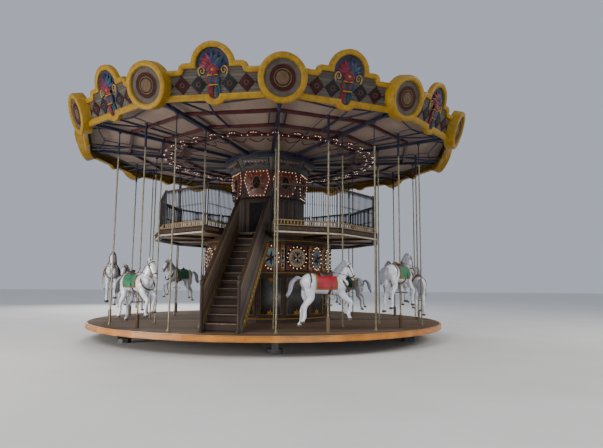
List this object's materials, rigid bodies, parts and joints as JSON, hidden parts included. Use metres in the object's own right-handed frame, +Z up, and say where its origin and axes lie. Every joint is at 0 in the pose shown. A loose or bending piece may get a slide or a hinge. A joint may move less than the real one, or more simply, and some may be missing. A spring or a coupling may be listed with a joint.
{
  "type": "fairground carousel",
  "caption": "Double-decker fairground carousel: turning platform with galloping horses, a stair to a railed upper deck, lit centre housing and a crown of arched boards and roundels",
  "frame": {"origin": "on the ground, on the axis that the platform turns about", "axes": "+Z up, -Y towards the roundel next to the stair bay; the stair climbs 15 degrees to the -X side of -Y"},
  "size_m": [11.4692, 11.4692, 7.06],
  "materials": {
    "frame_steel": "dark grey paint on steel, dusty",
    "floor_boards": "brown stained boards, worn along the walkway",
    "rim_orange": "orange fairground enamel, satin",
    "panel_red": "dark red enamel panels with warm bulbs",
    "dark_paint": "near black brown paint, satin",
    "stair_wood": "dark brown planks with gold trim",
    "sweep_navy": "navy black paint on steel",
    "lining_cloth": "brown beige canvas lining",
    "roof_canvas": "beige coated canvas",
    "trim_gold": "golden yellow enamel on moulded board",
    "horse_white": "glossy white paint on moulded glass fibre"
  },
  "bodies": {
    "root": {"base_frame": "frame_steel", "centre_pedestal": "frame_steel"},
    "turntable": {"slewing_ring": "frame_steel", "platform_frame": "frame_steel", "platform_deck": "floor_boards", "platform_rim": "rim_orange", "centre_drum": "panel_red", "upper_deck_beams": "dark_paint", "upper_deck_floor": "floor_boards", "upper_deck_fascia": "dark_paint", "stair_flight": "stair_wood", "stair_wall_left": "stair_wood", "stair_wall_right": "stair_wood", "hub_drum": "panel_red", "hub_soffit": "dark_paint", "canopy_lining": "lining_cloth", "crown_roundels": "trim_gold", "roof_cone": "roof_canvas", "stair_guard_left": "dark_paint", "stair_guard_right": "dark_paint", "balustrade_02": "dark_paint", "balustrade_03": "dark_paint", "balustrade_04": "dark_paint", "balustrade_05": "dark_paint", "balustrade_06": "dark_paint", "balustrade_07": "dark_paint", "balustrade_08": "dark_paint", "balustrade_09": "dark_paint", "balustrade_10": "dark_paint", "balustrade_11": "dark_paint", "balustrade_12": "dark_paint", "sweep_frame_01": "sweep_navy", "sweep_frame_02": "sweep_navy", "sweep_frame_03": "sweep_navy", "sweep_frame_04": "sweep_navy", "crown_board_01": "trim_gold", "crown_board_02": "trim_gold", "crown_board_03": "trim_gold", "crown_board_04": "trim_gold", "crown_board_05": "trim_gold", "crown_board_06": "trim_gold", "crown_board_07": "trim_gold", "crown_board_08": "trim_gold", "crown_board_09": "trim_gold", "crown_board_10": "trim_gold", "crown_board_11": "trim_gold", "crown_board_12": "trim_gold"},
    "rider_02": {"horse_02": "horse_white"},
    "rider_03": {"horse_03": "horse_white"},
    "rider_04": {"horse_04": "horse_white"},
    "rider_05": {"horse_05": "horse_white"},
    "rider_06": {"horse_06": "horse_white"},
    "rider_07": {"horse_07": "horse_white"},
    "rider_08": {"horse_08": "horse_white"},
    "rider_09": {"horse_09": "horse_white"},
    "rider_10": {"horse_10": "horse_white"},
    "rider_11": {"horse_11": "horse_white"},
    "rider_12": {"horse_12": "horse_white"}
  },
  "joints": [
    {"name": "turntable_spin", "type": "hinge", "parent": "root", "child": "turntable", "pos_m": [0, 0, 0.3], "axis": [0, 0, 1], "continuous": true},
    {"name": "horse_lift_02", "type": "slide", "parent": "turntable", "child": "rider_02", "axis": [0, 0, 1], "range_m": [0, 0.26]},
    {"name": "horse_lift_03", "type": "slide", "parent": "turntable", "child": "rider_03", "axis": [0, 0, 1], "range_m": [-0.26, 0]},
    {"name": "horse_lift_04", "type": "slide", "parent": "turntable", "child": "rider_04", "axis": [0, 0, 1], "range_m": [0, 0.26]},
    {"name": "horse_lift_05", "type": "slide", "parent": "turntable", "child": "rider_05", "axis": [0, 0, 1], "range_m": [-0.26, 0]},
    {"name": "horse_lift_06", "type": "slide", "parent": "turntable", "child": "rider_06", "axis": [0, 0, 1], "range_m": [0, 0.26]},
    {"name": "horse_lift_07", "type": "slide", "parent": "turntable", "child": "rider_07", "axis": [0, 0, 1], "range_m": [-0.26, 0]},
    {"name": "horse_lift_08", "type": "slide", "parent": "turntable", "child": "rider_08", "axis": [0, 0, 1], "range_m": [0, 0.26]},
    {"name": "horse_lift_09", "type": "slide", "parent": "turntable", "child": "rider_09", "axis": [0, 0, 1], "range_m": [-0.26, 0]},
    {"name": "horse_lift_10", "type": "slide", "parent": "turntable", "child": "rider_10", "axis": [0, 0, 1], "range_m": [0, 0.26]},
    {"name": "horse_lift_11", "type": "slide", "parent": "turntable", "child": "rider_11", "axis": [0, 0, 1], "range_m": [-0.26, 0]},
    {"name": "horse_lift_12", "type": "slide", "parent": "turntable", "child": "rider_12", "axis": [0, 0, 1], "range_m": [0, 0.26]}
  ],
  "couplings": [
    {"joint": "horse_lift_03", "follows": "horse_lift_02", "ratio": -1},
    {"joint": "horse_lift_04", "follows": "horse_lift_02", "ratio": 1},
    {"joint": "horse_lift_05", "follows": "horse_lift_02", "ratio": -1},
    {"joint": "horse_lift_06", "follows": "horse_lift_02", "ratio": 1},
    {"joint": "horse_lift_07", "follows": "horse_lift_02", "ratio": -1},
    {"joint": "horse_lift_08", "follows": "horse_lift_02", "ratio": 1},
    {"joint": "horse_lift_09", "follows": "horse_lift_02", "ratio": -1},
    {"joint": "horse_lift_10", "follows": "horse_lift_02", "ratio": 1},
    {"joint": "horse_lift_11", "follows": "horse_lift_02", "ratio": -1},
    {"joint": "horse_lift_12", "follows": "horse_lift_02", "ratio": 1}
  ]
}
